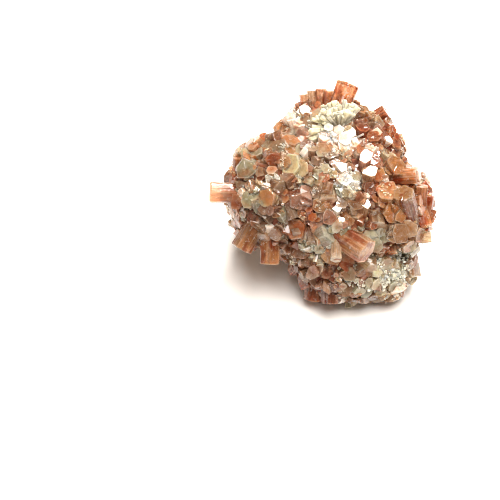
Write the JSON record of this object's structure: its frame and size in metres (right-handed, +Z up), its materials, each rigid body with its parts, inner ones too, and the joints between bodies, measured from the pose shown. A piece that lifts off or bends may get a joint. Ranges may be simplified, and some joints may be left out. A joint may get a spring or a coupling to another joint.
{
  "type": "aragonite sputnik cluster",
  "caption": "Free-standing natural cluster of flat-ended six-sided aragonite prisms radiating from a lumpy body.",
  "frame": {"origin": "middle of the cluster's footprint, on the surface that it rests on", "axes": "+Z up; +X along the cluster's widest extent; the display face looks towards -Y and up"},
  "size_m": [0.0496, 0.0439, 0.0392],
  "materials": {
    "aragonite": "vitreous, translucent, striated along the prisms; rust-orange, tan, cream and sage zones"
  },
  "bodies": {
    "root": {"aragonite_cluster": "aragonite"}
  },
  "joints": []
}
